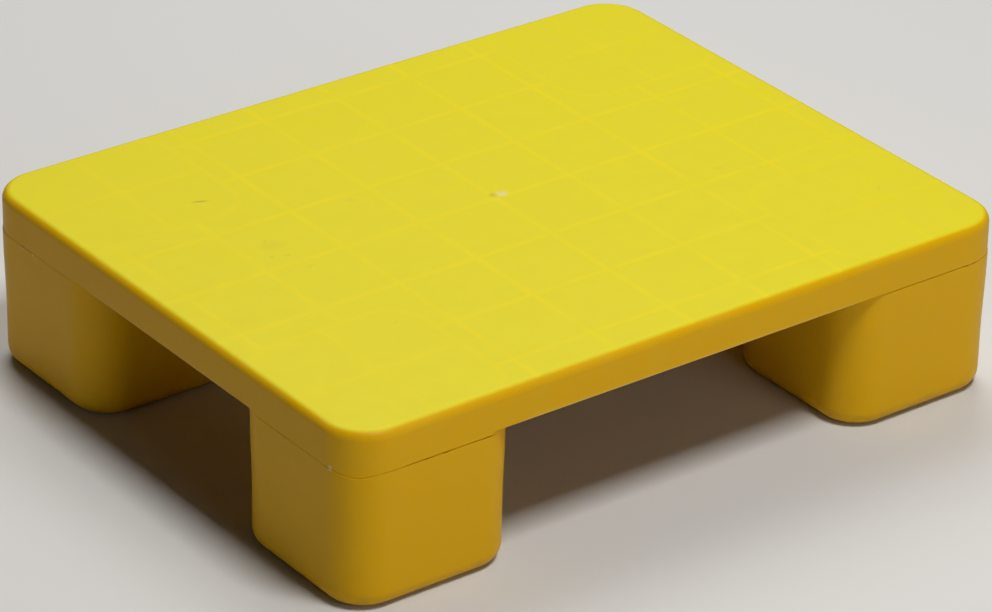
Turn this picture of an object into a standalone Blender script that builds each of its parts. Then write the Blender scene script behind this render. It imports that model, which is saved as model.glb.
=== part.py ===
"""Small plastic platform pallet: a closed ribbed deck on four screwed-on block feet.

Units are metres, +Z is up, and the origin is on the floor under the centre of the deck. The deck's long side runs
along X. Each foot is a cup with a closed base: its rim seats under the deck, its tongue stands inside the deck's
socket, and one screw runs up its hollow column into a threaded insert in the deck's boss.
"""

import math

import bmesh
import bpy

# Overall size
LENGTH = 0.500
WIDTH = 0.400
HEIGHT = 0.120

# Deck
SKIRT_HEIGHT = 0.025
COLLAR_DROP = 0.0015
DECK_CORNER = 0.030
DECK_ROLL = 0.006
TOP_PLATE = 0.0036
RIB = 0.0024
RIB_PITCH = 0.0575
RIB_COLUMNS = 4
RIB_ROWS = 3
RIB_RECESS = 0.0020

# Foot
FOOT_SIDE = 0.1214
FOOT_INSET = 0.0013
FOOT_LIP = 0.0010
FOOT_LIP_HEIGHT = 0.055
FOOT_CORNER = 0.027
FOOT_ROLL = 0.011
FOOT_WALL = 0.0045
FOOT_RIB = 0.0030
FOOT_RIB_DROP = 0.006

# Joint between foot and deck
GAP = 0.0003
SOCKET_WALL = 0.0024
TONGUE_HEIGHT = 0.008
CROSS_RIB_DEPTH = 0.0115
BOSS_RADIUS = 0.012
COLUMN_RADIUS = 0.016
COUNTERBORE_RADIUS = 0.012
SEAT_THICKNESS = 0.008
SCREW_HOLE_RADIUS = 0.0045

# Fasteners
SCREW_RADIUS = 0.0039
SCREW_LENGTH = 0.025
SCREW_HEAD_FLATS = 0.013
SCREW_HEAD_HEIGHT = 0.0053
HEAD_CHAMFER = 0.0008
WASHER_RADIUS = 0.010
WASHER_THICKNESS = 0.0016
INSERT_RADIUS = 0.0055
INSERT_LENGTH = 0.0158
INSERT_GROOVE = 0.0006

# Facets
CORNER_STEPS = 6
ROLL_STEPS = 3
ROUND_STEPS = 24
OVERCUT = 0.004

# Levels and walls that follow from the sizes above
SKIRT_WALL = FOOT_INSET + SOCKET_WALL
SKIRT_Z = HEIGHT - SKIRT_HEIGHT
SEAM_Z = SKIRT_Z - COLLAR_DROP
PLATE_Z = HEIGHT - TOP_PLATE
RIB_FOOT_Z = SKIRT_Z + RIB_RECESS
RIM_Z = SEAM_Z - GAP
TONGUE_Z = RIM_Z + TONGUE_HEIGHT
COLUMN_Z = RIB_FOOT_Z - GAP
SEAT_Z = COLUMN_Z - SEAT_THICKNESS
INSERT_Z = RIB_FOOT_Z + GAP
WASHER_Z = SEAT_Z - GAP - WASHER_THICKNESS
HEAD_Z = WASHER_Z - GAP

FOOT_X = LENGTH / 2 - FOOT_INSET - FOOT_SIDE / 2
FOOT_Y = WIDTH / 2 - FOOT_INSET - FOOT_SIDE / 2
CORNERS = {
    "front_left": (-FOOT_X, -FOOT_Y),
    "front_right": (FOOT_X, -FOOT_Y),
    "rear_left": (-FOOT_X, FOOT_Y),
    "rear_right": (FOOT_X, FOOT_Y),
}

YELLOW = (0.74, 0.62, 0.04, 1.0)
ZINC = (0.58, 0.59, 0.60, 1.0)
BRASS = (0.72, 0.52, 0.22, 1.0)


# Outlines


def rounded_rectangle(length, width, radius):
    """Points of a rectangle with round corners, anticlockwise from its +X side."""
    points = []
    for turn, (side_x, side_y) in enumerate(((1, 1), (-1, 1), (-1, -1), (1, -1))):
        centre_x = side_x * (length / 2 - radius)
        centre_y = side_y * (width / 2 - radius)
        for step in range(CORNER_STEPS + 1):
            angle = math.pi / 2 * (turn + step / CORNER_STEPS)
            points.append((centre_x + radius * math.cos(angle), centre_y + radius * math.sin(angle)))
    return points


def circle(radius):
    """Points of a circle, anticlockwise."""
    angles = [math.tau * step / ROUND_STEPS for step in range(ROUND_STEPS)]
    return [(radius * math.cos(angle), radius * math.sin(angle)) for angle in angles]


def hexagon(flats):
    """Points of a hexagon that is `flats` wide across its flats, as many as a circle has."""
    points = []
    for step in range(ROUND_STEPS):
        angle = math.tau * step / ROUND_STEPS
        from_flat = (angle + math.pi / 6) % (math.pi / 3) - math.pi / 6
        reach = flats / 2 / math.cos(from_flat)
        points.append((reach * math.cos(angle), reach * math.sin(angle)))
    return points


def deck_outline(inset):
    """The deck's plan outline, moved in by `inset`."""
    return rounded_rectangle(LENGTH - 2 * inset, WIDTH - 2 * inset, DECK_CORNER - inset)


def foot_outline(inset):
    """A foot's plan outline about its own centre, moved in by `inset`."""
    side = FOOT_SIDE - 2 * inset
    return rounded_rectangle(side, side, FOOT_CORNER - inset)


def quarter_turn(radius):
    """(inset, rise) along a round edge, from the flat face to the upright side."""
    angles = [math.pi / 2 * step / ROLL_STEPS for step in range(ROLL_STEPS + 1)]
    return [(radius * (1 - math.sin(angle)), radius * (1 - math.cos(angle))) for angle in angles]


# Solids


def new_object(name, mesh_builder):
    mesh = bpy.data.meshes.new(name)
    mesh_builder.normal_update()
    mesh_builder.to_mesh(mesh)
    mesh_builder.free()
    made = bpy.data.objects.new(name, mesh)
    bpy.context.scene.collection.objects.link(made)
    return made


def add_stack(builder, rings, centre=(0, 0)):
    """Adds the solid that passes through the rings, each (outline, z), in order from its first cap to its last."""
    loops = []
    for outline, z in rings:
        loops.append([builder.verts.new((centre[0] + x, centre[1] + y, z)) for x, y in outline])
    for lower, upper in zip(loops, loops[1:]):
        for here in range(len(lower)):
            after = (here + 1) % len(lower)
            builder.faces.new((lower[here], lower[after], upper[after], upper[here]))
    builder.faces.new(reversed(loops[0]))
    builder.faces.new(loops[-1])


def stack(name, rings, centre=(0, 0)):
    """An object made of one stack of rings."""
    builder = bmesh.new()
    add_stack(builder, rings, centre)
    return new_object(name, builder)


def prism(outline, low, high):
    """The two rings of an upright prism."""
    return [(outline, low), (outline, high)]


def rectangle(low_x, high_x, low_y, high_y):
    """The corners of a plain rectangle, anticlockwise."""
    return [(low_x, low_y), (high_x, low_y), (high_x, high_y), (low_x, high_y)]


def helper(made):
    """Marks a shape that only cuts or joins another, so it is no piece of the pallet."""
    made.hide_render = True
    made.display_type = "WIRE"
    return made


def combine(target, other, operation):
    """Cuts `other` out of `target`, or joins it on, with an exact Boolean."""
    modifier = target.modifiers.new(operation.lower() + "_" + other.name, "BOOLEAN")
    modifier.operation = operation
    modifier.solver = "EXACT"
    modifier.object = helper(other)


def plastic(name):
    return finish(name, YELLOW, 0.42, 0.0)


def finish(name, colour, roughness, metallic):
    """A Principled material."""
    material = bpy.data.materials.new(name)
    material.use_nodes = True
    surface = material.node_tree.nodes["Principled BSDF"]
    surface.inputs["Base Color"].default_value = colour
    surface.inputs["Roughness"].default_value = roughness
    surface.inputs["Metallic"].default_value = metallic
    return material


def dress(made, material):
    """Gives a piece its material and smooth round faces."""
    made.data.materials.append(material)
    made.data.shade_smooth()
    made.data.set_sharp_from_angle(angle=math.radians(35))


# Deck


def cell_spans(lines, end):
    """(low, high) of each open cell across the deck, with ribs on `lines` pitches each side of the middle one."""
    ribs = [RIB_PITCH * line for line in range(-lines, lines + 1)]
    lows = [-end] + [rib + RIB / 2 for rib in ribs]
    highs = [rib - RIB / 2 for rib in ribs] + [end]
    return list(zip(lows, highs))


def at_each_foot(name, outline, low, high):
    """One object holding the same prism at all four feet."""
    builder = bmesh.new()
    for centre in CORNERS.values():
        add_stack(builder, prism(outline, low, high), centre)
    return new_object(name, builder)


def relief_cutter():
    """What lifts the skirt's lower edge between the feet above the collars that the feet seat on."""
    reach = LENGTH
    slab = rectangle(-reach, reach, -reach, reach)
    relief = stack("relief_cutter", prism(slab, SEAM_Z - OVERCUT, SKIRT_Z))
    collar = foot_outline(-FOOT_INSET - GAP)
    combine(relief, at_each_foot("collars_keeper", collar, SEAM_Z - 2 * OVERCUT, HEIGHT), "DIFFERENCE")
    return relief


def recess_cutter():
    """The shallow space under the ribs, inside the skirt and outside the socket rings."""
    recess = stack("recess_cutter", prism(deck_outline(SKIRT_WALL), SEAM_Z - OVERCUT, RIB_FOOT_Z))
    keeper = at_each_foot("rings_keeper_recess", foot_outline(0), SEAM_Z - 2 * OVERCUT, HEIGHT)
    combine(recess, keeper, "DIFFERENCE")
    return recess


def cells_cutter():
    """The open cells between the deck's ribs, kept inside the skirt and stopped at the socket rings."""
    builder = bmesh.new()
    for low_x, high_x in cell_spans(RIB_COLUMNS, LENGTH / 2):
        for low_y, high_y in cell_spans(RIB_ROWS, WIDTH / 2):
            cell = rectangle(low_x, high_x, low_y, high_y)
            add_stack(builder, prism(cell, RIB_FOOT_Z - OVERCUT / 4, PLATE_Z))
    cells = new_object("cells_cutter", builder)
    inside = prism(deck_outline(SKIRT_WALL), SEAM_Z, HEIGHT)
    combine(cells, stack("inside_of_skirt", inside), "INTERSECT")
    keeper = at_each_foot("rings_keeper_cells", foot_outline(0), SEAM_Z - 2 * OVERCUT, HEIGHT)
    combine(cells, keeper, "DIFFERENCE")
    return cells


def sockets_cutter():
    """The hollow over each foot: open below for the foot's tongue, and above that in quarters round a boss."""
    sockets = at_each_foot("sockets_cutter", foot_outline(SOCKET_WALL), SEAM_Z - OVERCUT, PLATE_Z)
    reach = FOOT_SIDE / 2
    low = PLATE_Z - CROSS_RIB_DEPTH
    along_x = rectangle(-reach, reach, -RIB / 2, RIB / 2)
    along_y = rectangle(-RIB / 2, RIB / 2, -reach, reach)
    combine(sockets, at_each_foot("cross_ribs_along_x", along_x, low, HEIGHT), "DIFFERENCE")
    combine(sockets, at_each_foot("cross_ribs_along_y", along_y, low, HEIGHT), "DIFFERENCE")
    combine(sockets, at_each_foot("bosses_keeper", circle(BOSS_RADIUS), RIB_FOOT_Z, HEIGHT), "DIFFERENCE")
    return sockets


def insert_holes_cutter():
    """The blind hole for the insert in each boss."""
    low = RIB_FOOT_Z - OVERCUT / 4
    high = INSERT_Z + INSERT_LENGTH + GAP
    return at_each_foot("insert_holes_cutter", circle(INSERT_RADIUS + GAP), low, high)


def make_deck():
    """A plate with a rolled edge and a skirt, open below, with ribs, and a socket over each foot."""
    rings = [(deck_outline(0), SEAM_Z)]
    for inset, drop in reversed(quarter_turn(DECK_ROLL)):
        rings.append((deck_outline(inset), HEIGHT - drop))
    deck = stack("deck", rings)
    combine(deck, sockets_cutter(), "DIFFERENCE")
    combine(deck, insert_holes_cutter(), "DIFFERENCE")
    combine(deck, recess_cutter(), "DIFFERENCE")
    combine(deck, relief_cutter(), "DIFFERENCE")
    combine(deck, cells_cutter(), "DIFFERENCE")
    dress(deck, plastic("deck_plastic"))


# Feet


def foot_rib(name, centre, along_x):
    """An upright rib across the cup, with its lower ends cut off at a slant to stay inside the round base edge."""
    sunk = FOOT_WALL / 2
    half = FOOT_SIDE / 2
    rings = []
    for inset, z in ((FOOT_ROLL, sunk), (sunk, FOOT_ROLL), (sunk, RIM_Z - FOOT_RIB_DROP)):
        reach = half - inset
        if along_x:
            rings.append((rectangle(-reach, reach, -FOOT_RIB / 2, FOOT_RIB / 2), z))
        else:
            rings.append((rectangle(-FOOT_RIB / 2, FOOT_RIB / 2, -reach, reach), z))
    return stack(name, rings, centre)


def make_foot(corner, centre):
    """A cup that widens to a lip at its rim, with a tongue, two cross ribs and a hollow screw column."""
    rings = []
    for inset, rise in quarter_turn(FOOT_ROLL):
        rings.append((foot_outline(inset), rise))
    rings.append((foot_outline(0), RIM_Z - FOOT_LIP_HEIGHT))
    rings.append((foot_outline(-FOOT_LIP), RIM_Z))
    rings.append((foot_outline(SOCKET_WALL + GAP), RIM_Z))
    rings.append((foot_outline(SOCKET_WALL + GAP), TONGUE_Z))
    rings.append((foot_outline(FOOT_WALL), TONGUE_Z))
    rings.append((foot_outline(FOOT_WALL), FOOT_ROLL))
    rings.append((foot_outline(FOOT_ROLL), FOOT_WALL))
    foot = stack("foot_" + corner, rings, centre)

    sunk = FOOT_WALL / 2
    combine(foot, foot_rib("foot_rib_x_" + corner, centre, True), "UNION")
    combine(foot, foot_rib("foot_rib_y_" + corner, centre, False), "UNION")
    column = prism(circle(COLUMN_RADIUS), sunk, COLUMN_Z)
    combine(foot, stack("foot_column_" + corner, column, centre), "UNION")
    counterbore = prism(circle(COUNTERBORE_RADIUS), -OVERCUT, SEAT_Z)
    combine(foot, stack("foot_counterbore_" + corner, counterbore, centre), "DIFFERENCE")
    hole = prism(circle(SCREW_HOLE_RADIUS), SEAT_Z - OVERCUT, COLUMN_Z + OVERCUT)
    combine(foot, stack("foot_screw_hole_" + corner, hole, centre), "DIFFERENCE")
    dress(foot, plastic("foot_plastic_" + corner))


# Fasteners


def make_screw(corner, centre):
    """A hexagon head screw, head down."""
    low = HEAD_Z - SCREW_HEAD_HEIGHT
    tip = HEAD_Z + SCREW_LENGTH
    rings = [
        (circle(SCREW_HEAD_FLATS / 2 - HEAD_CHAMFER / 2), low),
        (hexagon(SCREW_HEAD_FLATS), low + HEAD_CHAMFER),
        (hexagon(SCREW_HEAD_FLATS), HEAD_Z),
        (circle(SCREW_RADIUS), HEAD_Z),
        (circle(SCREW_RADIUS), tip - HEAD_CHAMFER),
        (circle(SCREW_RADIUS - HEAD_CHAMFER), tip),
    ]
    screw = stack("screw_" + corner, rings, centre)
    dress(screw, finish("screw_steel_" + corner, ZINC, 0.35, 1.0))


def make_tube(name, centre, profile):
    """A closed ring of material through the (radius, z) points of its section, which run anticlockwise."""
    builder = bmesh.new()
    loops = []
    for radius, z in profile:
        loops.append([builder.verts.new((centre[0] + x, centre[1] + y, z)) for x, y in circle(radius)])
    for lower, upper in zip(loops, loops[1:] + loops[:1]):
        for here in range(ROUND_STEPS):
            after = (here + 1) % ROUND_STEPS
            builder.faces.new((lower[here], lower[after], upper[after], upper[here]))
    return new_object(name, builder)


def make_washer(corner, centre):
    inner = SCREW_HOLE_RADIUS
    top = WASHER_Z + WASHER_THICKNESS
    profile = [(inner, WASHER_Z), (WASHER_RADIUS, WASHER_Z), (WASHER_RADIUS, top), (inner, top)]
    washer = make_tube("washer_" + corner, centre, profile)
    dress(washer, finish("washer_steel_" + corner, ZINC, 0.32, 1.0))


def make_insert(corner, centre):
    """A threaded insert: a thick-walled tube with a groove round its middle that the plastic grips."""
    inner = SCREW_RADIUS + GAP
    waist = INSERT_RADIUS - INSERT_GROOVE
    top = INSERT_Z + INSERT_LENGTH
    groove_low = INSERT_Z + 0.4 * INSERT_LENGTH
    groove_high = INSERT_Z + 0.6 * INSERT_LENGTH
    profile = [
        (inner, INSERT_Z),
        (INSERT_RADIUS, INSERT_Z),
        (INSERT_RADIUS, groove_low),
        (waist, groove_low + INSERT_GROOVE),
        (waist, groove_high - INSERT_GROOVE),
        (INSERT_RADIUS, groove_high),
        (INSERT_RADIUS, top),
        (inner, top),
    ]
    insert = make_tube("insert_" + corner, centre, profile)
    dress(insert, finish("insert_brass_" + corner, BRASS, 0.38, 1.0))


def main():
    for old in list(bpy.data.objects):
        bpy.data.objects.remove(old, do_unlink=True)
    make_deck()
    for corner, centre in CORNERS.items():
        make_foot(corner, centre)
        make_screw(corner, centre)
        make_washer(corner, centre)
        make_insert(corner, centre)


main()
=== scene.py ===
"""Yellow moulded platform pallet: detailed pieces, materials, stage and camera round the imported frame.

Metres, +Z up, origin on the floor under the centre of the deck, long side along X. Every piece stands for one
solid of the frame and takes its place and size from it.
"""

import math

import bmesh
import bpy
from mathutils import Matrix, Vector, noise


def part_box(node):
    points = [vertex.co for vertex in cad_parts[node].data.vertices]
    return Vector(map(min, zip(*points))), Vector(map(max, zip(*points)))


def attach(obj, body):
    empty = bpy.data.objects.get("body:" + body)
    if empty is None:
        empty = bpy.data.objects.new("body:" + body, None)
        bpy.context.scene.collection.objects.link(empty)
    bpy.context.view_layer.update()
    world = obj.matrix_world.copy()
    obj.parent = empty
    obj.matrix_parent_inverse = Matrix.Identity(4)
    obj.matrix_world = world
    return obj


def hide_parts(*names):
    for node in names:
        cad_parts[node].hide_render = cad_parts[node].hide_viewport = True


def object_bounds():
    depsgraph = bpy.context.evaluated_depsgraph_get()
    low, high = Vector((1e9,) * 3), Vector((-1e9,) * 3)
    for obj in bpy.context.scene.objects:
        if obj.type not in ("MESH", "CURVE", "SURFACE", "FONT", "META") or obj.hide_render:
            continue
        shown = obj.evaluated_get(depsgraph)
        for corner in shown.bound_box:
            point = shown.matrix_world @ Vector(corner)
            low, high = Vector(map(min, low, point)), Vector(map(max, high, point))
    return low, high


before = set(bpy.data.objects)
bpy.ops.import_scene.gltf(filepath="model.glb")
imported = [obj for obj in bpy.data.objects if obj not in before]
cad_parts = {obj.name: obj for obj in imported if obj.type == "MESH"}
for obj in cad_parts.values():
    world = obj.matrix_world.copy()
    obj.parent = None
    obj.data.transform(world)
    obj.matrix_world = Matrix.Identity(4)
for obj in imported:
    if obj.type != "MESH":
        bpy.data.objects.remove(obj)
CAD_LOW, CAD_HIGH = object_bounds()

MM = 0.001
BODY = "root"
CORNERS = ("front_left", "front_right", "rear_left", "rear_right")

# Deck
DECK_CORNER = 30 * MM
DECK_ROLL = 6 * MM
SKIRT_HEIGHT = 25 * MM
LOWER_EDGE_ROUND = 0.45 * MM
TOP_PLATE = 3.6 * MM
RIB = 2.4 * MM
RIB_FLARE = 0.25 * MM
RIB_PITCH = 57.5 * MM
RIB_COLUMNS = 4
RIB_ROWS = 3
RIB_RECESS = 2 * MM
CELL_CORNER = 2.2 * MM
CELL_FILLET = 1.2 * MM
SOCKET_WALL = 2.4 * MM
CROSS_RIB_DEPTH = 11.5 * MM
BOSS_RADIUS = 12 * MM
GATE_RADIUS = 2.3 * MM
GATE_PLACE = (6.9 * MM, 2.8 * MM)
GATE_HEIGHT = 0.25 * MM
GATE_STRETCH = 1.3
GATE_ROUGHNESS = 0.3
GATE_GRAIN = 900
GATE_RISE = 0.9
GATE_PROFILE = ((1.0, -1.0), (1.0, 0.0), (0.86, 0.55), (0.62, 1.0), (0.34, 0.62), (0.16, 0.2))

# Foot
FOOT_LIP = 1 * MM
FOOT_LIP_HEIGHT = 55 * MM
FOOT_CORNER = 27 * MM
FOOT_ROLL = 11 * MM
FOOT_WALL = 4.5 * MM
FOOT_RIB = 3 * MM
FOOT_RIB_DROP = 6 * MM
TONGUE_HEIGHT = 8 * MM
RIM_ROUND = 0.35 * MM
COLUMN_RADIUS = 16 * MM
COUNTERBORE_RADIUS = 12 * MM
COUNTERBORE_CHAMFER = 0.8 * MM
SEAT_THICKNESS = 8 * MM
SCREW_HOLE_RADIUS = 4.5 * MM
GAP = 0.3 * MM

# Seam between deck and feet: how far it sits below its nominal level, and what spoils its line
SEAM_SAG = {"front_left": 0.5 * MM, "front_right": -1.0 * MM, "rear_left": -0.1 * MM, "rear_right": -0.4 * MM}
SAG_PEAK = (-241.5 * MM, -191 * MM)
SAG_PEAK_DROP = 3.0 * MM
SAG_PEAK_RADIUS = 12 * MM
SEAM_GRAIN = 5 * MM
SEAM_OPENING = 0.45 * MM
SEAM_TIGHT = 0.2 * MM
SEAM_TIGHT_REACH = 38 * MM
FLASH_REACH = 0.25 * MM
RIM_FLASH_SHARES = (0.0, 1.0, 0.8, 0.3, 0.0)
# Marks on the rim: middle, half width and height, all in mm
NICKS = ((-182.8, -199, 1.9, 0.9), (-196, -199, 3.5, 0.45), (-152, -199, 3.5, 0.5), (217, -199, 2.5, 0.4))
FLECKS = ((-249, -176.5, 1.6, 0.8), (-249, 156, 1.3, 0.9), (-249, 146, 1.2, 0.3), (219, -199, 1.8, 0.5))

# Fasteners
THREAD_PITCH = 1.25 * MM
THREAD_DEPTH = 0.65 * MM
THREAD_START = 2 * MM
HEAD_FLATS = 13 * MM
HEAD_CHAMFER = 0.8 * MM
HEAD_DISH = 0.35 * MM
EDGE_ROUND = 0.3 * MM
KNURL_TEETH = 36
KNURL_DEPTH = 0.25 * MM
KNURLED_ROWS = (3, 4, 7, 8)

# Mesh fineness
LIP_STEPS = 5
LIP_SPREAD = 0.9
CORNER_STEPS = 18
ROLL_STEPS = 10
EDGE_STEPS = 3
THREAD_ROWS = 10
SIDE_STEP = 1.2 * MM
DECK_SIDE_STEP = 5 * MM
ROUND_STEPS = 72
OVERCUT = 4 * MM
SHARP_ANGLE = math.radians(32)

# Levels of the frame
DECK_LOW, DECK_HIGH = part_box("deck")
LENGTH = DECK_HIGH.x - DECK_LOW.x
WIDTH = DECK_HIGH.y - DECK_LOW.y
TOP_Z = DECK_HIGH.z
SEAM_Z = DECK_LOW.z
SKIRT_Z = TOP_Z - SKIRT_HEIGHT
PLATE_Z = TOP_Z - TOP_PLATE
RIB_FOOT_Z = SKIRT_Z + RIB_RECESS


def box_centre(node):
    """The middle of a frame solid in plan."""
    low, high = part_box(node)
    return ((low.x + high.x) / 2, (low.y + high.y) / 2)


FOOT_CENTRES = {corner: box_centre("foot_" + corner) for corner in CORNERS}
FOOT_LOW, FOOT_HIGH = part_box("foot_front_left")
FOOT_SIDE = FOOT_HIGH.x - FOOT_LOW.x - 2 * FOOT_LIP
FOOT_INSET = FOOT_LOW.x - DECK_LOW.x + FOOT_LIP
SKIRT_WALL = FOOT_INSET + SOCKET_WALL
TONGUE_Z = FOOT_HIGH.z
RIM_Z = TONGUE_Z - TONGUE_HEIGHT
COLUMN_Z = RIB_FOOT_Z - GAP
SEAT_Z = COLUMN_Z - SEAT_THICKNESS
FOOT_X = abs(FOOT_CENTRES["front_left"][0])
FOOT_Y = abs(FOOT_CENTRES["front_left"][1])


# Outlines


def rounded_rectangle(length, width, radius, corner_steps=CORNER_STEPS, side_steps=(1, 1)):
    """Points of a rectangle with round corners, anticlockwise, each straight side cut into equal steps."""
    points = []
    for turn, (side_x, side_y) in enumerate(((1, 1), (-1, 1), (-1, -1), (1, -1))):
        centre = Vector((side_x * (length / 2 - radius), side_y * (width / 2 - radius)))
        for step in range(corner_steps + 1):
            angle = math.pi / 2 * (turn + step / corner_steps)
            points.append(centre + radius * Vector((math.cos(angle), math.sin(angle))))
        start = points[-1]
        run = length - 2 * radius if turn % 2 == 0 else width - 2 * radius
        along = Vector((-side_y, 0)) if turn % 2 == 0 else Vector((0, side_x))
        steps = side_steps[turn % 2]
        for step in range(1, steps):
            points.append(start + along * run * step / steps)
    return points


def circle(radius, steps=ROUND_STEPS):
    """Points of a circle, anticlockwise."""
    angles = [math.tau * step / steps for step in range(steps)]
    return [Vector((radius * math.cos(angle), radius * math.sin(angle))) for angle in angles]


def rectangle(low_x, high_x, low_y, high_y):
    """The corners of a plain rectangle, anticlockwise."""
    return [Vector(corner) for corner in ((low_x, low_y), (high_x, low_y), (high_x, high_y), (low_x, high_y))]


def deck_outline(inset):
    """The deck's plan outline, moved in by `inset`."""
    steps = [round((side - 2 * DECK_CORNER) / DECK_SIDE_STEP) for side in (LENGTH, WIDTH)]
    return rounded_rectangle(LENGTH - 2 * inset, WIDTH - 2 * inset, DECK_CORNER - inset, side_steps=steps)


def foot_outline(inset):
    """A foot's plan outline about its own centre, moved in by `inset`."""
    side = FOOT_SIDE - 2 * inset
    steps = round((FOOT_SIDE - 2 * FOOT_CORNER) / SIDE_STEP)
    return rounded_rectangle(side, side, FOOT_CORNER - inset, side_steps=(steps, steps))


def quarter_turn(radius, steps):
    """(inset, rise) along a round edge, from the flat face to the upright side."""
    angles = [math.pi / 2 * step / steps for step in range(steps + 1)]
    return [(radius * (1 - math.sin(angle)), radius * (1 - math.cos(angle))) for angle in angles]


# Meshes


def new_object(name, builder):
    """Turns a mesh builder into a linked object."""
    mesh = bpy.data.meshes.new(name)
    builder.normal_update()
    builder.to_mesh(mesh)
    builder.free()
    made = bpy.data.objects.new(name, mesh)
    bpy.context.scene.collection.objects.link(made)
    return made


def add_loops(builder, rings, centre=(0, 0), closed=False):
    """Adds a skin through the rings, each (outline, z), and returns its vertex loops."""
    loops = []
    for outline, z in rings:
        loops.append([builder.verts.new((centre[0] + p.x, centre[1] + p.y, z)) for p in outline])
    pairs = list(zip(loops, loops[1:]))
    if closed:
        pairs.append((loops[-1], loops[0]))
    for lower, upper in pairs:
        for here in range(len(lower)):
            after = (here + 1) % len(lower)
            builder.faces.new((lower[here], lower[after], upper[after], upper[here]))
    return loops


def add_stack(builder, rings, centre=(0, 0)):
    """Adds the solid that passes through the rings, from its first cap to its last, and returns its loops."""
    loops = add_loops(builder, rings, centre)
    builder.faces.new(reversed(loops[0]))
    builder.faces.new(loops[-1])
    return loops


def stack(name, rings, centre=(0, 0)):
    """An object made of one stack of rings."""
    builder = bmesh.new()
    add_stack(builder, rings, centre)
    return new_object(name, builder)


def prism(outline, low, high):
    """The two rings of an upright prism."""
    return [(outline, low), (outline, high)]


def combine(target, other, operation):
    """Cuts `other` out of `target`, or joins it on, and removes `other`."""
    modifier = target.modifiers.new(operation, "BOOLEAN")
    modifier.operation = operation
    modifier.solver = "MANIFOLD"
    modifier.object = other
    evaluated = target.evaluated_get(bpy.context.evaluated_depsgraph_get())
    made = bpy.data.meshes.new_from_object(evaluated)
    old = target.data
    target.modifiers.clear()
    target.data = made
    bpy.data.meshes.remove(old)
    bpy.data.objects.remove(other, do_unlink=True)


def present(piece, material, nodes):
    """Shades a finished piece, gives it its material, and puts it in the place of its frame solids."""
    piece.data.materials.clear()
    piece.data.materials.append(material)
    piece.data.shade_smooth()
    piece.data.set_sharp_from_angle(angle=SHARP_ANGLE)
    weighted = piece.modifiers.new("face_weighted_normals", "WEIGHTED_NORMAL")
    weighted.keep_sharp = True
    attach(piece, BODY)
    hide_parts(*nodes)


# Seam between deck and feet


def seam_drop(x, y):
    """How far the seam at (x, y) sits below its nominal level."""
    corner = ("front" if y < 0 else "rear") + ("_left" if x < 0 else "_right")
    away = math.hypot(x - SAG_PEAK[0], y - SAG_PEAK[1]) / SAG_PEAK_RADIUS
    return SEAM_SAG[corner] + SAG_PEAK_DROP * math.exp(-(away ** 2))


def bump_at(x, y, marks):
    """The height at (x, y) of the tallest of some rounded marks, each (x, y, half width, height) in mm."""
    heights = [0.0]
    for mark_x, mark_y, half_width, height in marks:
        away = math.hypot(x - mark_x * MM, y - mark_y * MM) / (half_width * MM)
        heights.append(height * MM * math.exp(-(away ** 2)))
    return max(heights)


def seam_grain(x, y, layer):
    """Uneven drift along the seam, about -1 to 1."""
    broad = noise.noise(Vector((x, y, layer * SEAM_GRAIN * 9)) / SEAM_GRAIN)
    fine = noise.noise(Vector((x, y, layer * SEAM_GRAIN * 9)) / (SEAM_GRAIN / 4))
    return broad + 0.5 * fine


# Deck


def at_each_foot(name, rings):
    """One object holding the same stack at all four feet."""
    builder = bmesh.new()
    for centre in FOOT_CENTRES.values():
        add_stack(builder, rings, centre)
    return new_object(name, builder)


def relief_cutter():
    """What lifts the skirt's rounded lower edge between the feet above the collars that the feet seat on."""
    reach = LENGTH
    slab = rectangle(-reach, reach, -reach, reach)
    relief = stack("relief_cutter", prism(slab, SEAM_Z - OVERCUT, SKIRT_Z + LOWER_EDGE_ROUND))
    proud = GAP / 20
    rings = []
    for inset, rise in quarter_turn(LOWER_EDGE_ROUND, EDGE_STEPS):
        rings.append((deck_outline(inset - proud), SKIRT_Z + rise))
    rings.append((deck_outline(-proud), TOP_Z))
    combine(relief, stack("skirt_keeper", rings), "DIFFERENCE")
    collar = prism(foot_outline(-FOOT_INSET - GAP), SEAM_Z - 2 * OVERCUT, TOP_Z)
    combine(relief, at_each_foot("collars_keeper", collar), "DIFFERENCE")
    return relief


def recess_cutter():
    """The shallow space under the ribs, inside the skirt and outside the socket rings."""
    recess = stack("recess_cutter", prism(deck_outline(SKIRT_WALL), SEAM_Z - OVERCUT, RIB_FOOT_Z))
    keeper = at_each_foot("rings_keeper", prism(foot_outline(0), SEAM_Z - 2 * OVERCUT, TOP_Z))
    combine(recess, keeper, "DIFFERENCE")
    return recess


def cell_spans(lines, wall):
    """(low, high) of each open cell across the deck, between the ribs and the skirt."""
    ribs = [RIB_PITCH * line for line in range(-lines, lines + 1)]
    lows = [-wall] + [rib + RIB / 2 for rib in ribs]
    highs = [rib - RIB / 2 for rib in ribs] + [wall]
    return list(zip(lows, highs))


def add_cell(builder, span_x, span_y):
    """Adds one cell: walls that open out downwards, round corners, and a fillet under the plate."""
    centre = ((span_x[0] + span_x[1]) / 2, (span_y[0] + span_y[1]) / 2)
    length = span_x[1] - span_x[0]
    width = span_y[1] - span_y[0]
    rings = [(-RIB_FLARE, RIB_FOOT_Z - OVERCUT / 4), (-RIB_FLARE, RIB_FOOT_Z)]
    for inset, drop in reversed(quarter_turn(CELL_FILLET, EDGE_STEPS)):
        rings.append((inset, PLATE_Z - drop))
    loops = []
    for inset, z in rings:
        loops.append((rounded_rectangle(length - 2 * inset, width - 2 * inset, CELL_CORNER - inset, 4), z))
    add_stack(builder, loops, centre)


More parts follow.
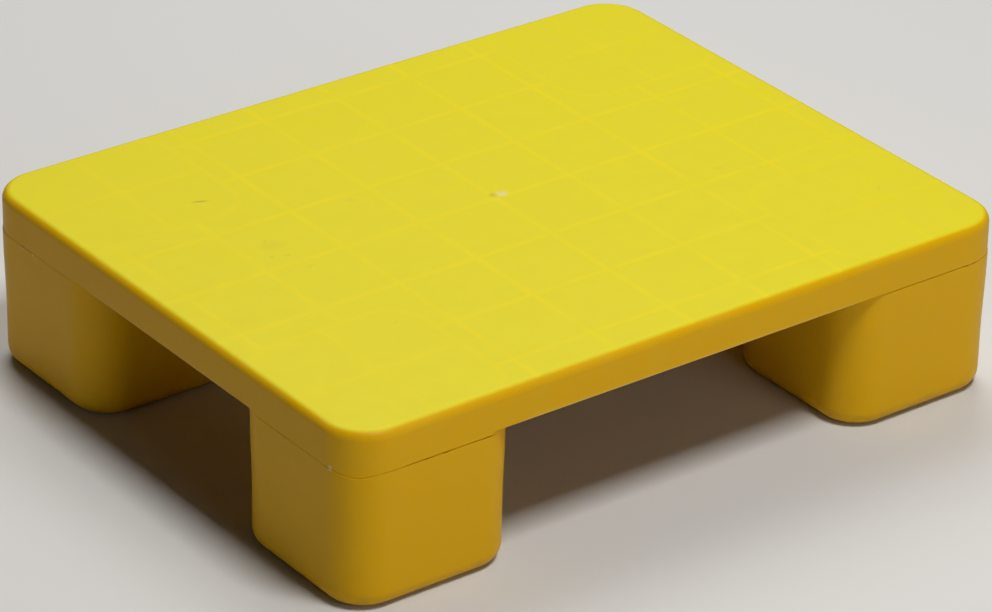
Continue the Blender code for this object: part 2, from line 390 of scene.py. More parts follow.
def cells_cutter():
    """The open cells between the deck's ribs, kept inside the skirt and stopped at the socket rings."""
    builder = bmesh.new()
    for span_x in cell_spans(RIB_COLUMNS, LENGTH / 2 - SKIRT_WALL):
        for span_y in cell_spans(RIB_ROWS, WIDTH / 2 - SKIRT_WALL):
            add_cell(builder, span_x, span_y)
    cells = new_object("cells_cutter", builder)
    inside = prism(deck_outline(SKIRT_WALL - RIB_FLARE), SEAM_Z, TOP_Z)
    combine(cells, stack("inside_of_skirt", inside), "INTERSECT")
    keeper = at_each_foot("rings_keeper", prism(foot_outline(0), SEAM_Z - 2 * OVERCUT, TOP_Z))
    combine(cells, keeper, "DIFFERENCE")
    return cells


def sockets_cutter():
    """The hollow over each foot: open below for the foot's tongue, in quarters round a boss above."""
    rings = prism(foot_outline(SOCKET_WALL), SEAM_Z - OVERCUT, PLATE_Z - CELL_FILLET)
    for inset, drop in reversed(quarter_turn(CELL_FILLET, EDGE_STEPS)[:-1]):
        rings.append((foot_outline(SOCKET_WALL + inset), PLATE_Z - drop))
    sockets = at_each_foot("sockets_cutter", rings)
    reach = FOOT_SIDE / 2
    low = PLATE_Z - CROSS_RIB_DEPTH
    along_x = prism(rectangle(-reach, reach, -RIB / 2, RIB / 2), low, TOP_Z)
    along_y = prism(rectangle(-RIB / 2, RIB / 2, -reach, reach), low, TOP_Z)
    combine(sockets, at_each_foot("ribs_along_x", along_x), "DIFFERENCE")
    combine(sockets, at_each_foot("ribs_along_y", along_y), "DIFFERENCE")
    combine(sockets, at_each_foot("bosses", prism(circle(BOSS_RADIUS), RIB_FOOT_Z, TOP_Z)), "DIFFERENCE")
    return sockets


def insert_holes_cutter():
    """The blind hole for the insert in each boss."""
    low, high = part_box("insert_front_left")
    radius = (high.x - low.x) / 2 + GAP
    return at_each_foot("insert_holes_cutter", prism(circle(radius), low.z - OVERCUT, high.z + GAP))


def sag_collars(deck):
    """Lets the collars follow the uneven level of the seam."""
    builder = bmesh.new()
    builder.from_mesh(deck.data)
    low = [face for face in builder.faces if face.calc_center_median().z < SEAM_Z + LOWER_EDGE_ROUND / 8]
    bmesh.ops.triangulate(builder, faces=low)
    for vertex in builder.verts:
        if vertex.co.z < SEAM_Z + 1.01 * LOWER_EDGE_ROUND:
            vertex.co.z -= seam_drop(vertex.co.x, vertex.co.y)
    builder.to_mesh(deck.data)
    builder.free()


def add_gate(deck):
    """The low torn mark in the middle of the top where the plastic went into the mould."""
    rings = []
    for share, rise in GATE_PROFILE:
        outline = []
        for point in circle(GATE_RADIUS, ROUND_STEPS // 2):
            rough = 1 + GATE_ROUGHNESS * noise.noise(Vector((point.x, point.y, 0)) * GATE_GRAIN)
            outline.append(Vector((point.x * GATE_STRETCH, point.y)) * share * rough)
        rings.append((outline, TOP_Z - GATE_HEIGHT + GATE_HEIGHT * GATE_RISE * rise))
    combine(deck, stack("gate", rings, GATE_PLACE), "UNION")


def make_deck(material):
    """A plate with a rolled edge and a skirt, open below, with ribs, and a socket over each foot."""
    rings = []
    for inset, rise in quarter_turn(LOWER_EDGE_ROUND, EDGE_STEPS):
        rings.append((deck_outline(inset), SEAM_Z + rise))
    for inset, drop in reversed(quarter_turn(DECK_ROLL, ROLL_STEPS)):
        rings.append((deck_outline(inset), TOP_Z - drop))
    deck = stack("deck_moulding", rings)
    for cutter in (sockets_cutter(), insert_holes_cutter(), recess_cutter(), relief_cutter(), cells_cutter()):
        combine(deck, cutter, "DIFFERENCE")
    sag_collars(deck)
    add_gate(deck)
    present(deck, material, ["deck"])


# Feet


def shape_rim(loops, centre):
    """Moves the rim's loops, from outside in, to the uneven seam, with its flash, nicks and flecks."""
    for loop, share in loops:
        for vertex in loop:
            x, y = vertex.co.x, vertex.co.y
            outward = Vector((x - centre[0], y - centre[1])).normalized()
            flash = max(0.0, seam_grain(x, y, 1) - 0.1) * FLASH_REACH + bump_at(x, y, FLECKS)
            opening = max(0.0, seam_grain(x, y, 2)) * SEAM_OPENING + bump_at(x, y, NICKS)
            tight = SEAM_TIGHT if x < DECK_LOW.x + SEAM_TIGHT_REACH else 0.0
            vertex.co.xy += outward * flash * share
            vertex.co.z -= seam_drop(x, y) + opening - tight


def foot_shell(corner, centre):
    """A cup with a round base edge, a lip at its rim, and a tongue inside the rim."""
    rings = []
    for inset, rise in quarter_turn(FOOT_ROLL, ROLL_STEPS):
        rings.append((foot_outline(inset), rise))
    rings.append((foot_outline(0), (FOOT_ROLL + RIM_Z - FOOT_LIP_HEIGHT) / 2))
    start = RIM_Z - FOOT_LIP_HEIGHT
    for step in range(LIP_STEPS):
        share = step / LIP_STEPS
        eased = share * share * (3 - 2 * share)
        rings.append((foot_outline(-FOOT_LIP * eased), start + FOOT_LIP_HEIGHT * share * LIP_SPREAD))
    first_rim_ring = len(rings)
    rings.append((foot_outline(-FOOT_LIP), RIM_Z - 2 * RIM_ROUND))
    rings.append((foot_outline(-FOOT_LIP), RIM_Z - RIM_ROUND))
    rings.append((foot_outline(-FOOT_LIP + RIM_ROUND / 3), RIM_Z - RIM_ROUND / 3))
    rings.append((foot_outline(-FOOT_LIP + RIM_ROUND), RIM_Z))
    rings.append((foot_outline(SOCKET_WALL + GAP), RIM_Z))
    rings.append((foot_outline(SOCKET_WALL + GAP), TONGUE_Z - RIM_ROUND))
    rings.append((foot_outline(SOCKET_WALL + GAP + RIM_ROUND), TONGUE_Z))
    rings.append((foot_outline(FOOT_WALL), TONGUE_Z))
    rings.append((foot_outline(FOOT_WALL), FOOT_ROLL))
    inner_round = FOOT_ROLL - FOOT_WALL
    for inset, rise in reversed(quarter_turn(inner_round, EDGE_STEPS)[:-1]):
        rings.append((foot_outline(FOOT_WALL + inset), FOOT_WALL + rise))
    builder = bmesh.new()
    loops = add_stack(builder, rings, centre)
    rim = loops[first_rim_ring:first_rim_ring + len(RIM_FLASH_SHARES)]
    shape_rim(zip(rim, RIM_FLASH_SHARES), centre)
    return new_object("block_foot_" + corner, builder)


def foot_rib(centre, along_x):
    """An upright rib across the cup, cut off at a slant below to stay inside the round base edge."""
    sunk = FOOT_WALL / 2
    rings = []
    for inset, z in ((FOOT_ROLL, sunk), (sunk, FOOT_ROLL), (sunk, RIM_Z - FOOT_RIB_DROP)):
        reach = FOOT_SIDE / 2 - inset
        across = FOOT_RIB / 2
        half_x, half_y = (reach, across) if along_x else (across, reach)
        rings.append((rectangle(-half_x, half_x, -half_y, half_y), z))
    return stack("foot_rib", rings, centre)


def make_foot(corner, material):
    """A cup that opens upwards, with a tongue round its rim, two cross ribs and a hollow screw column."""
    centre = FOOT_CENTRES[corner]
    foot = foot_shell(corner, centre)
    sunk = FOOT_WALL / 2
    combine(foot, foot_rib(centre, True), "UNION")
    combine(foot, foot_rib(centre, False), "UNION")
    combine(foot, stack("column", prism(circle(COLUMN_RADIUS), sunk, COLUMN_Z), centre), "UNION")
    counterbore = [
        (circle(COUNTERBORE_RADIUS + COUNTERBORE_CHAMFER + OVERCUT), -OVERCUT),
        (circle(COUNTERBORE_RADIUS), COUNTERBORE_CHAMFER),
        (circle(COUNTERBORE_RADIUS), SEAT_Z),
    ]
    combine(foot, stack("counterbore", counterbore, centre), "DIFFERENCE")
    hole = prism(circle(SCREW_HOLE_RADIUS), SEAT_Z - OVERCUT, COLUMN_Z + OVERCUT)
    combine(foot, stack("screw_hole", hole, centre), "DIFFERENCE")
    present(foot, material, ["foot_" + corner])


# Fasteners


def hexagon(flats, chamfer_radius):
    """Points of a hexagon `flats` wide, with its points cut back to `chamfer_radius`."""
    points = []
    for step in range(ROUND_STEPS):
        angle = math.tau * step / ROUND_STEPS
        from_flat = (angle + math.pi / 6) % (math.pi / 3) - math.pi / 6
        reach = min(flats / 2 / math.cos(from_flat), chamfer_radius)
        points.append(Vector((reach * math.cos(angle), reach * math.sin(angle))))
    return points


def thread_outline(radius, z):
    """A slice through a right-hand thread at height z."""
    points = []
    for step in range(ROUND_STEPS):
        turn = step / ROUND_STEPS
        phase = (z / THREAD_PITCH - turn) % 1.0
        depth = min(max(abs(2 * phase - 1) * 1.3 - 0.1, 0.0), 1.0) * THREAD_DEPTH
        reach = radius - depth
        points.append(Vector((reach * math.cos(math.tau * turn), reach * math.sin(math.tau * turn))))
    return points


def make_screw(corner, material):
    """A hexagon head screw, head down, with a rolled thread and a dished head."""
    low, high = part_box("screw_" + corner)
    head_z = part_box("washer_" + corner)[0].z - GAP
    radius = SCREW_HOLE_RADIUS - 2 * GAP
    points = HEAD_FLATS / 2 / math.cos(math.pi / 6)
    rings = [
        (circle(HEAD_FLATS * 0.30), low.z + HEAD_DISH),
        (circle(HEAD_FLATS * 0.36), low.z + HEAD_DISH * 0.3),
        (circle(HEAD_FLATS * 0.40), low.z),
        (circle(HEAD_FLATS / 2 - HEAD_CHAMFER / 2), low.z),
        (hexagon(HEAD_FLATS, HEAD_FLATS / 2 + HEAD_CHAMFER / 3), low.z + HEAD_CHAMFER / 2),
        (hexagon(HEAD_FLATS, points), low.z + HEAD_CHAMFER),
        (hexagon(HEAD_FLATS, points), head_z - EDGE_ROUND * 2),
        (circle(HEAD_FLATS / 2), head_z - EDGE_ROUND),
        (circle(HEAD_FLATS / 2), head_z),
        (circle(radius), head_z),
        (circle(radius), head_z + THREAD_START),
    ]
    start = head_z + THREAD_START + THREAD_PITCH / THREAD_ROWS
    rows = int((high.z - HEAD_CHAMFER - start) / THREAD_PITCH * THREAD_ROWS)
    for row in range(rows):
        z = start + row * THREAD_PITCH / THREAD_ROWS
        rings.append((thread_outline(radius, z), z))
    rings.append((circle(radius - THREAD_DEPTH), high.z - HEAD_CHAMFER / 2))
    rings.append((circle(radius - THREAD_DEPTH - HEAD_CHAMFER / 2), high.z))
    screw = stack("hex_screw_" + corner, rings, box_centre("screw_" + corner))
    present(screw, material, ["screw_" + corner])


def make_ring(name, profile, centre, knurl=()):
    """A closed ring through the (radius, z) points of its section; rows in `knurl` are toothed."""
    rings = []
    for row, (radius, z) in enumerate(profile):
        outline = circle(radius, KNURL_TEETH * 4)
        if row in knurl:
            cut = 1 - KNURL_DEPTH / radius
            outline = [point * (cut if step % 4 in (0, 1) else 1) for step, point in enumerate(outline)]
        rings.append((outline, z))
    builder = bmesh.new()
    add_loops(builder, rings, centre, closed=True)
    return new_object(name, builder)


def make_washer(corner, material):
    """A flat washer with rounded edges."""
    low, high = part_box("washer_" + corner)
    outer = (high.x - low.x) / 2
    inner = SCREW_HOLE_RADIUS
    profile = [
        (inner + EDGE_ROUND, low.z),
        (outer - EDGE_ROUND, low.z),
        (outer - EDGE_ROUND / 4, low.z + EDGE_ROUND / 4),
        (outer, low.z + EDGE_ROUND),
        (outer, high.z - EDGE_ROUND),
        (outer - EDGE_ROUND / 4, high.z - EDGE_ROUND / 4),
        (outer - EDGE_ROUND, high.z),
        (inner + EDGE_ROUND, high.z),
        (inner, high.z - EDGE_ROUND),
        (inner, low.z + EDGE_ROUND),
    ]
    washer = make_ring("flat_washer_" + corner, profile, box_centre("washer_" + corner))
    present(washer, material, ["washer_" + corner])


def make_insert(corner, material):
    """A threaded brass insert with two knurled bands and a groove between them."""
    low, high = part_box("insert_" + corner)
    outer = (high.x - low.x) / 2
    inner = SCREW_HOLE_RADIUS - GAP
    height = high.z - low.z
    neck = outer - 2 * KNURL_DEPTH
    profile = [
        (inner + EDGE_ROUND, low.z),
        (neck, low.z),
        (neck, low.z + 0.06 * height),
        (outer, low.z + 0.08 * height),
        (outer, low.z + 0.42 * height),
        (neck, low.z + 0.45 * height),
        (neck, low.z + 0.55 * height),
        (outer, low.z + 0.58 * height),
        (outer, low.z + 0.94 * height),
        (neck, high.z),
        (inner + EDGE_ROUND, high.z),
        (inner, high.z - EDGE_ROUND),
        (inner, low.z + EDGE_ROUND),
    ]
    centre = box_centre("insert_" + corner)
    insert = make_ring("threaded_insert_" + corner, profile, centre, KNURLED_ROWS)
    present(insert, material, ["insert_" + corner])


# Materials


class Graph:
    """Short ways to add nodes to one material; every value is a number, a tuple or an output."""

    def __init__(self, name):
        self.material = bpy.data.materials.new(name)
        self.material.use_nodes = True
        self.nodes = self.material.node_tree.nodes
        self.links = self.material.node_tree.links
        self.surface = self.nodes["Principled BSDF"]

    def put(self, socket, value):
        """Links an output to the socket, or sets the socket to a value."""
        if isinstance(value, bpy.types.NodeSocket):
            self.links.new(value, socket)
        else:
            socket.default_value = value

    def shader(self, **values):
        """Sets inputs of the surface shader; the words of a name are joined by underscores."""
        for name, value in values.items():
            self.put(self.surface.inputs[name.replace("_", " ")], value)

    def math(self, operation, *values):
        """One step of arithmetic."""
        made = self.nodes.new("ShaderNodeMath")
        made.operation = operation
        for socket, value in zip(made.inputs, values):
            self.put(socket, value)
        return made.outputs[0]

    def fade(self, value, full, none):
        """1 at `full`, 0 at `none`, smooth between and held beyond."""
        made = self.nodes.new("ShaderNodeMapRange")
        made.interpolation_type = "SMOOTHSTEP"
        for name, number in (("Value", value), ("From Min", none), ("From Max", full)):
            self.put(made.inputs[name], number)
        return made.outputs["Result"]

    def span(self, value, low, high, to_low, to_high):
        """Maps low..high to to_low..to_high and holds beyond."""
        made = self.nodes.new("ShaderNodeMapRange")
        names = ("Value", "From Min", "From Max", "To Min", "To Max")
        for name, number in zip(names, (value, low, high, to_low, to_high)):
            self.put(made.inputs[name], number)
        return made.outputs["Result"]

    def position(self):
        """The place on the piece in metres, as x, y, z outputs and as a vector."""
        place = self.nodes.new("ShaderNodeTexCoord").outputs["Object"]
        parts = self.nodes.new("ShaderNodeSeparateXYZ")
        self.links.new(place, parts.inputs[0])
        return place, parts.outputs[0], parts.outputs[1], parts.outputs[2]

    def length(self, along_x, along_y):
        """How long the side opposite a right angle is."""
        squares = [self.math("POWER", side, 2.0) for side in (along_x, along_y)]
        return self.math("SQRT", self.math("ADD", *squares))

    def distance(self, place, centre):
        """How far a place is from a fixed point."""
        made = self.nodes.new("ShaderNodeVectorMath")
        made.operation = "DISTANCE"
        self.put(made.inputs[0], place)
        self.put(made.inputs[1], centre)
        return made.outputs["Value"]

    def stretch(self, place, scale, turn=0.0):
        """The place turned about Z and scaled along each axis."""
        made = self.nodes.new("ShaderNodeMapping")
        self.put(made.inputs["Vector"], place)
        made.inputs["Scale"].default_value = scale
        made.inputs["Rotation"].default_value = (0, 0, turn)
        return made.outputs[0]

    def noise(self, place, size, detail=2.0, roughness=0.5):
        """Smooth noise with features of about `size` metres, mostly 0.3 to 0.7."""
        made = self.nodes.new("ShaderNodeTexNoise")
        self.put(made.inputs["Vector"], place)
        made.inputs["Scale"].default_value = 1 / size
        made.inputs["Detail"].default_value = detail
        made.inputs["Roughness"].default_value = roughness
        return made.outputs["Fac"]

    def mix(self, factor, first, second):
        """The first colour at factor 0, the second at 1."""
        made = self.nodes.new("ShaderNodeMix")
        made.data_type = "RGBA"
        self.put(made.inputs["Factor"], factor)
        self.put(made.inputs["A"], first)
        self.put(made.inputs["B"], second)
        return made.outputs["Result"]

    def bump(self, height, distance, normal=None):
        """A normal tilted by a height of up to `distance` metres."""
        made = self.nodes.new("ShaderNodeBump")
        made.inputs["Distance"].default_value = distance
        self.put(made.inputs["Height"], height)
        if normal is not None:
            self.put(made.inputs["Normal"], normal)
        return made.outputs[0]


# Colours
YELLOW = (0.745, 0.655, 0.012, 1)
# Painted shade: the amber below is the yellow plastic darkened and turned orange for the deck's sides and the
# feet, standing in for their shade.
AMBER_PAINTED_SHADE = (0.750, 0.410, 0.001, 1)
RIB_YELLOW = (0.800, 0.668, 0.008, 1)
DUSTY = (0.560, 0.470, 0.075, 1)
# PALE also paints the highlight along the skirt's lower edge.
PALE = (0.76, 0.64, 0.36, 1)
GRIME = (0.30, 0.24, 0.05, 1)
ZINC_BRIGHT = (0.60, 0.61, 0.62, 1)
ZINC_DULL = (0.46, 0.48, 0.50, 1)
ZINC_TARNISH = (0.42, 0.36, 0.22, 1)
BRASS_BRIGHT = (0.74, 0.53, 0.22, 1)
BRASS_DARK = (0.58, 0.40, 0.15, 1)

# Plastic
PLASTIC_SPECULAR = 0.12
PLASTIC_IOR = 1.49
CLOUD_SIZE = 18 * MM
FIBRE_SIZE = 20 * MM
GRAIN_SIZE = 0.7 * MM
RIPPLE_SIZE = 30 * MM
RIPPLE_HEIGHT = 0.35 * MM
GRAIN_HEIGHT = 0.02 * MM
SCUFF_DEPTH = 0.03 * MM
LINE_DEPTH = 0.03 * MM
TOP_FADE = 1.5 * MM
UNEVEN_SIZE = 22 * MM
PATCHY_SIZE = 3 * MM
HUB_FULL = 2 * MM
HUB_NONE = 9 * MM
# Strength of the painted highlight along the skirt's lower edge.
OVER_FEET_STRENGTH = 0.55
EDGE_HIGHLIGHT_STRENGTH = 0.3
SEAM_FLECK_STRENGTH = 0.9
GRIME_REACH = 16 * MM
GRIME_SIZE = 9 * MM

# Metals
BLOOM_SIZE = 2.2 * MM
TARNISH_SIZE = 6 * MM
PLATING_GRAIN = 0.5 * MM
TURNING_SIZE = 4 * MM
METAL_RELIEF = 0.01 * MM


def moulded_surface(graph, place, tone):
    """Dust, satin grain and handling marks that both the deck and the feet have, over a colour."""
    cloud = graph.noise(place, CLOUD_SIZE, 4, 0.6)
    colour = graph.mix(graph.span(cloud, 0.35, 0.75, 0.0, 0.10), tone, DUSTY)
    fibres = graph.noise(graph.stretch(place, (1, 14, 8), 0.5), FIBRE_SIZE, 3)
    scuffs = graph.fade(fibres, 0.78, 0.70)
    grain = graph.noise(place, GRAIN_SIZE, 3, 0.6)
    roughness = graph.span(cloud, 0.3, 0.7, 0.40, 0.50)
    roughness = graph.math("ADD", roughness, graph.math("MULTIPLY", scuffs, 0.10))
    ripple = graph.noise(place, RIPPLE_SIZE, 1)
    normal = graph.bump(ripple, RIPPLE_HEIGHT)
    normal = graph.bump(grain, GRAIN_HEIGHT, normal)
    normal = graph.bump(scuffs, -SCUFF_DEPTH, normal)
    return colour, roughness, normal


def rib_lines(graph, x, y, z):
    """Where the ribs, socket rings and crosses under the plate show through its top, from 0 to 1."""
    reach_x = graph.math("ABSOLUTE", x)
    reach_y = graph.math("ABSOLUTE", y)
    full, none = 0.1 * RIB, 1.5 * RIB
    grid_x = graph.fade(graph.math("PINGPONG", x, RIB_PITCH / 2), full, none)
    grid_y = graph.fade(graph.math("PINGPONG", y, RIB_PITCH / 2), full, none)
    grid = graph.math("MAXIMUM", grid_x, grid_y)

    half = FOOT_SIDE / 2 - SOCKET_WALL / 2
    radius = FOOT_CORNER - SOCKET_WALL / 2
    from_x = graph.math("ABSOLUTE", graph.math("SUBTRACT", reach_x, FOOT_X))
    from_y = graph.math("ABSOLUTE", graph.math("SUBTRACT", reach_y, FOOT_Y))
    over_x = graph.math("SUBTRACT", from_x, half - radius)
    over_y = graph.math("SUBTRACT", from_y, half - radius)
    out_x = graph.math("MAXIMUM", over_x, 0.0)
    out_y = graph.math("MAXIMUM", over_y, 0.0)
    outside = graph.length(out_x, out_y)
    inside = graph.math("MINIMUM", graph.math("MAXIMUM", over_x, over_y), 0.0)
    distance = graph.math("SUBTRACT", graph.math("ADD", outside, inside), radius)
    ring = graph.fade(graph.math("ABSOLUTE", distance), full, none)
    within = graph.fade(distance, -0.5 * RIB, 0.5 * RIB)
    cross = graph.math("MAXIMUM", graph.fade(from_x, full, none), graph.fade(from_y, full, none))
    hub = graph.fade(graph.length(from_x, from_y), HUB_FULL, HUB_NONE)
    cross = graph.math("MAXIMUM", cross, hub)

    grid = graph.math("MULTIPLY", grid, graph.math("SUBTRACT", 1.0, within))
    over_feet = graph.math("MAXIMUM", graph.math("MULTIPLY", cross, within), ring)
    lines = graph.math("MAXIMUM", grid, graph.math("MULTIPLY", over_feet, OVER_FEET_STRENGTH))
    on_top = graph.fade(z, TOP_Z, TOP_Z - TOP_FADE)
    return graph.math("MULTIPLY", lines, on_top)


# Marks on the top: middle in mm, half length and half width in mm, turn in degrees, strength
SCUFFS = (
    (-153.9, 100.8, 7.5, 2.0, -23, 0.55),
    (-150.5, 27.0, 11.0, 9.0, 0, 0.10),
    (-159.0, 14.5, 3.0, 2.0, 20, 0.16),
    (-150.0, 11.0, 4.0, 2.0, -20, 0.14),
    (-151.0, 34.0, 3.5, 2.0, 40, 0.12),
    (-145.6, -8.4, 5.0, 2.0, 10, 0.12),
    (-76.0, 49.6, 5.0, 2.5, -30, 0.12),
    (141.0, -46.0, 5.0, 2.0, -30, 0.16),
    (207.0, -125.0, 4.0, 1.6, 60, 0.12),
    (-145.5, -96.0, 5.0, 2.0, 30, 0.10),
    (1.3, 4.7, 4.0, 4.0, 0, 0.42),
)
FLECKS_ON_TOP = (
    (7.2, 3.2, 5.5, 5.0, -20, 0.90),
    (-0.5, -2.0, 3.5, 2.5, -20, 0.20),
    (-156.1, 94.1, 2.0, 1.4, 0, 0.35),
)

# Pale torn flash along the seam: middle and radius in mm
SEAM_FLECKS = (
    ((-250, 156, 93), 1.9),
    ((-250, 144, 92.4), 1.2),
    ((-249.3, -177, 93), 2.2),
    ((219, -200, 94.5), 1.3),
)


def spot(graph, x, y, centre, half_length, half_width, turn):
    """A soft oval spot seen from above, 1 in its middle."""
    cosine, sine = math.cos(math.radians(turn)), math.sin(math.radians(turn))
    from_x = graph.math("SUBTRACT", x, centre[0])
    from_y = graph.math("SUBTRACT", y, centre[1])
    along = graph.math("ADD", graph.math("MULTIPLY", from_x, cosine), graph.math("MULTIPLY", from_y, sine))
    across_y = graph.math("MULTIPLY", from_y, cosine)
    across = graph.math("SUBTRACT", across_y, graph.math("MULTIPLY", from_x, sine))
    along = graph.math("DIVIDE", along, half_length)
    across = graph.math("DIVIDE", across, half_width)
    return graph.fade(graph.length(along, across), 0.2, 1.0)


def marked(graph, colour, x, y, patchy, marks, tint):
    """The colour with some marks on it."""
    for mark_x, mark_y, half_length, half_width, turn, strength in marks:
        mark = spot(graph, x, y, (mark_x * MM, mark_y * MM), half_length * MM, half_width * MM, turn)
        mark = graph.math("MULTIPLY", mark, graph.span(patchy, 0.35, 0.65, 0.6 * strength, strength))
        colour = graph.mix(mark, colour, tint)
    return colour


def flecked(graph, colour, place):
    """The colour with pale flecks of torn flash along the seam."""
    for centre, radius in SEAM_FLECKS:
        away = graph.distance(place, [value * MM for value in centre])
        near = graph.fade(away, 0.3 * radius * MM, radius * MM)
        colour = graph.mix(graph.math("MULTIPLY", near, SEAM_FLECK_STRENGTH), colour, PALE)
    return colour


def deck_plastic():
    """Satin yellow plastic whose top shows the ribs beneath, with the marks of a few things stood on it;
    painted shade makes its sides amber, and a painted highlight runs along the skirt's lower edge.
    """
    graph = Graph("deck_plastic_finish")
    place, x, y, z = graph.position()
    on_top = graph.fade(z, TOP_Z, TOP_Z - TOP_FADE)
    # Painted shade: below the top the deck takes the amber side colour instead of the yellow.
    plain, roughness, normal = moulded_surface(graph, place, graph.mix(on_top, AMBER_PAINTED_SHADE, YELLOW))
    lines = rib_lines(graph, x, y, z)
    uneven = graph.span(graph.noise(place, UNEVEN_SIZE, 2, 0.6), 0.35, 0.65, 0.35, 1.0)
    seen = graph.math("MULTIPLY", lines, uneven)
    colour = graph.mix(seen, plain, RIB_YELLOW)
    patchy = graph.noise(place, PATCHY_SIZE, 3, 0.7)
    colour = marked(graph, colour, x, y, patchy, SCUFFS, GRIME)
    colour = marked(graph, colour, x, y, patchy, FLECKS_ON_TOP, PALE)
    colour = graph.mix(on_top, plain, colour)
    # Painted highlight: a pale band along the skirt's lower edge between the feet stands in for the light
    # that edge catches.
    edge = graph.math("ABSOLUTE", graph.math("SUBTRACT", z, SKIRT_Z + 0.3 * MM))
    painted_edge_highlight = graph.math("MULTIPLY", graph.fade(edge, 0.2 * MM, 0.9 * MM), EDGE_HIGHLIGHT_STRENGTH)
    span_x, span_y = FOOT_X - FOOT_SIDE / 2, FOOT_Y - FOOT_SIDE / 2
    free_x = graph.fade(graph.math("ABSOLUTE", x), span_x - 2 * MM, span_x)
    free_y = graph.fade(graph.math("ABSOLUTE", y), span_y - 2 * MM, span_y)
    painted_edge_highlight = graph.math("MULTIPLY", painted_edge_highlight, graph.math("MAXIMUM", free_x, free_y))
    colour = flecked(graph, graph.mix(painted_edge_highlight, colour, PALE), place)
    normal = graph.bump(lines, -LINE_DEPTH, normal)
    graph.shader(Base_Color=colour, Roughness=roughness, Normal=normal)
    graph.shader(Specular_IOR_Level=PLASTIC_SPECULAR, IOR=PLASTIC_IOR)
    return graph.material


def foot_plastic():
    """The same plastic on the feet, scuffed and a little dirty near the floor, in the amber of painted shade
    all over.
    """
    graph = Graph("foot_plastic_finish")
    place, _, _, z = graph.position()
    # Painted shade: the feet are all in the amber side colour.
    colour, roughness, normal = moulded_surface(graph, place, AMBER_PAINTED_SHADE)
    colour = flecked(graph, colour, place)
    low = graph.fade(z, 0.0, GRIME_REACH)
    patches = graph.span(graph.noise(place, GRIME_SIZE, 4, 0.65), 0.45, 0.7, 0.0, 0.35)
    colour = graph.mix(graph.math("MULTIPLY", low, patches), colour, GRIME)
    graph.shader(Base_Color=colour, Roughness=roughness, Normal=normal)
    graph.shader(Specular_IOR_Level=PLASTIC_SPECULAR, IOR=PLASTIC_IOR)
    return graph.material


def zinc():
    """Bright zinc plating with faint crystals and patches of tarnish."""
    graph = Graph("zinc_plating")
    place = graph.position()[0]
    bloom = graph.noise(place, BLOOM_SIZE, 4, 0.6)
    colour = graph.mix(graph.span(bloom, 0.3, 0.7, 0.0, 1.0), ZINC_BRIGHT, ZINC_DULL)
    tarnish = graph.noise(place, TARNISH_SIZE, 3)
    colour = graph.mix(graph.span(tarnish, 0.55, 0.75, 0.0, 0.4), colour, ZINC_TARNISH)
    roughness = graph.span(bloom, 0.3, 0.7, 0.28, 0.44)
    normal = graph.bump(graph.noise(place, PLATING_GRAIN, 2), METAL_RELIEF)
    graph.shader(Base_Color=colour, Metallic=1.0, Roughness=roughness, Normal=normal)
    return graph.material


def brass():
    """Machined brass with fine turning lines."""
    graph = Graph("turned_brass")
    place = graph.position()[0]
    turned = graph.noise(graph.stretch(place, (1, 1, 40)), TURNING_SIZE, 2)
    colour = graph.mix(graph.span(turned, 0.3, 0.7, 0.0, 1.0), BRASS_BRIGHT, BRASS_DARK)
    roughness = graph.span(turned, 0.3, 0.7, 0.26, 0.42)
    normal = graph.bump(turned, METAL_RELIEF)
    graph.shader(Base_Color=colour, Metallic=1.0, Roughness=roughness, Normal=normal)
    return graph.material


# Stage

FLOOR_RADIUS = 9.0
FLOOR_DEPTH = 20 * MM
FLOOR_COLOUR = (0.70, 0.70, 0.70, 1)
LIGHT_DISTANCE = 2.4
SOFT_WHITE = (1.0, 0.98, 0.94)
AIR_GLOW = 0.004
OBJECT_CENTRE = (CAD_LOW + CAD_HIGH) / 2

# Soft boxes: name, azimuth and elevation in degrees, side in metres, power in watts
SOFTBOXES = (
    ("key_softbox", 3, 66, 0.6, 33.2),
    ("rear_softbox", 150, 55, 1.6, 33.6),
    ("front_softbox", 4, 14, 1.6, 9.8),
    ("left_softbox", -74, 14, 1.6, 1.1),
)


def make_floor():
    """A plain pale matte floor."""
    floor = stack("studio_floor", prism(circle(FLOOR_RADIUS), -FLOOR_DEPTH, 0.0))
    graph = Graph("studio_floor_paint")
    graph.shader(Base_Color=FLOOR_COLOUR, Roughness=0.9, Specular_IOR_Level=0.1)
    floor.data.materials.append(graph.material)


def direction_from(azimuth, elevation):
    """The unit vector from the object towards a viewpoint; azimuth 0 is in front of it, 90 to its right."""
    turn, rise = math.radians(azimuth), math.radians(elevation)
    return Vector((math.sin(turn) * math.cos(rise), -math.cos(turn) * math.cos(rise), math.sin(rise)))


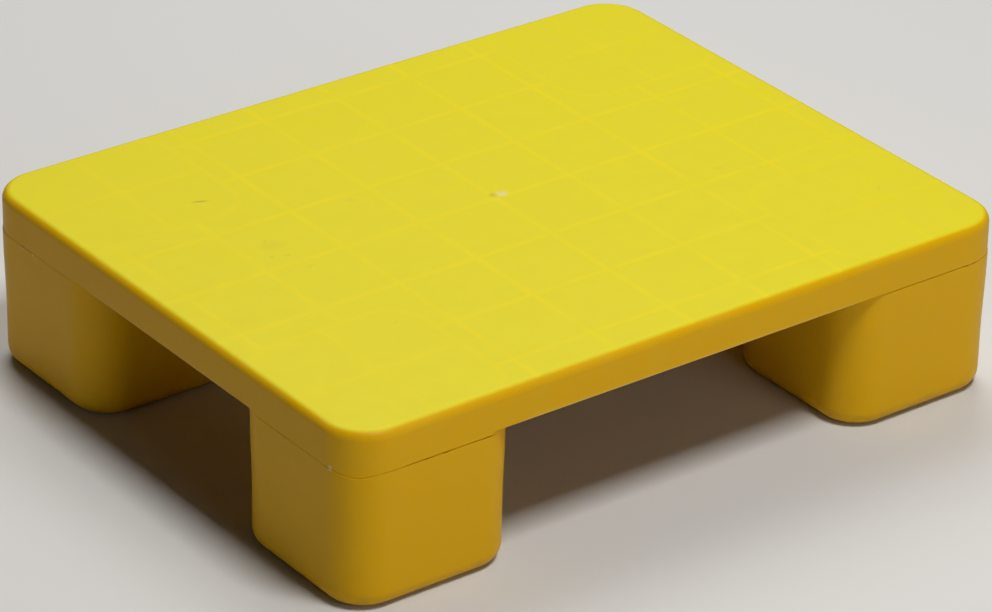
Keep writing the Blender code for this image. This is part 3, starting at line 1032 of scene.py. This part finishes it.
def softbox(name, azimuth, elevation, size, power):
    """A square soft light that faces the object."""
    lamp = bpy.data.lights.new(name, "AREA")
    lamp.shape = "SQUARE"
    lamp.size = size
    lamp.energy = power
    lamp.color = SOFT_WHITE
    made = bpy.data.objects.new(name, lamp)
    back = direction_from(azimuth, elevation)
    made.location = OBJECT_CENTRE + back * LIGHT_DISTANCE
    made.rotation_mode = "QUATERNION"
    made.rotation_quaternion = back.to_track_quat("Z", "Y")
    bpy.context.scene.collection.objects.link(made)


def make_lights():
    """Plain soft white light from four sides, and a trace of it in the air."""
    for placed in SOFTBOXES:
        softbox(*placed)
    world = bpy.data.worlds.new("studio_air")
    world.use_nodes = True
    background = world.node_tree.nodes["Background"]
    background.inputs["Color"].default_value = (1.0, 1.0, 1.0, 1)
    background.inputs["Strength"].default_value = AIR_GLOW
    bpy.context.scene.world = world


# Camera

CAMERA_AZIMUTH = -37.16
CAMERA_ELEVATION = 28.28
CAMERA_ROLL = 1.172
CAMERA_DISTANCE = 3.047
CAMERA_LENS = 175.72
AIM_OFFSET = Vector((-0.0028, -0.0064, -0.0125))


def make_camera():
    """A long lens, looking down on the near left corner."""
    camera = bpy.data.cameras.new("camera")
    camera.sensor_width = 36.0
    camera.lens = CAMERA_LENS
    camera.clip_start = 0.1
    camera.clip_end = 60.0
    made = bpy.data.objects.new("camera", camera)
    back = direction_from(CAMERA_AZIMUTH, CAMERA_ELEVATION)
    level = Vector((math.cos(math.radians(CAMERA_AZIMUTH)), math.sin(math.radians(CAMERA_AZIMUTH)), 0))
    right = Matrix.Rotation(math.radians(CAMERA_ROLL), 3, back) @ level
    up = back.cross(right)
    axes = Matrix((right, up, back)).transposed()
    place = OBJECT_CENTRE + AIM_OFFSET + back * CAMERA_DISTANCE
    made.matrix_world = Matrix.Translation(place) @ axes.to_4x4()
    bpy.context.scene.collection.objects.link(made)
    bpy.context.scene.camera = made


def main():
    """Builds every piece, the stage and the camera."""
    make_deck(deck_plastic())
    foot_finish = foot_plastic()
    zinc_finish = zinc()
    brass_finish = brass()
    for corner in CORNERS:
        make_foot(corner, foot_finish)
        make_screw(corner, zinc_finish)
        make_washer(corner, zinc_finish)
        make_insert(corner, brass_finish)
    make_floor()
    make_lights()
    make_camera()
    bpy.context.scene.view_settings.view_transform = "Standard"


main()
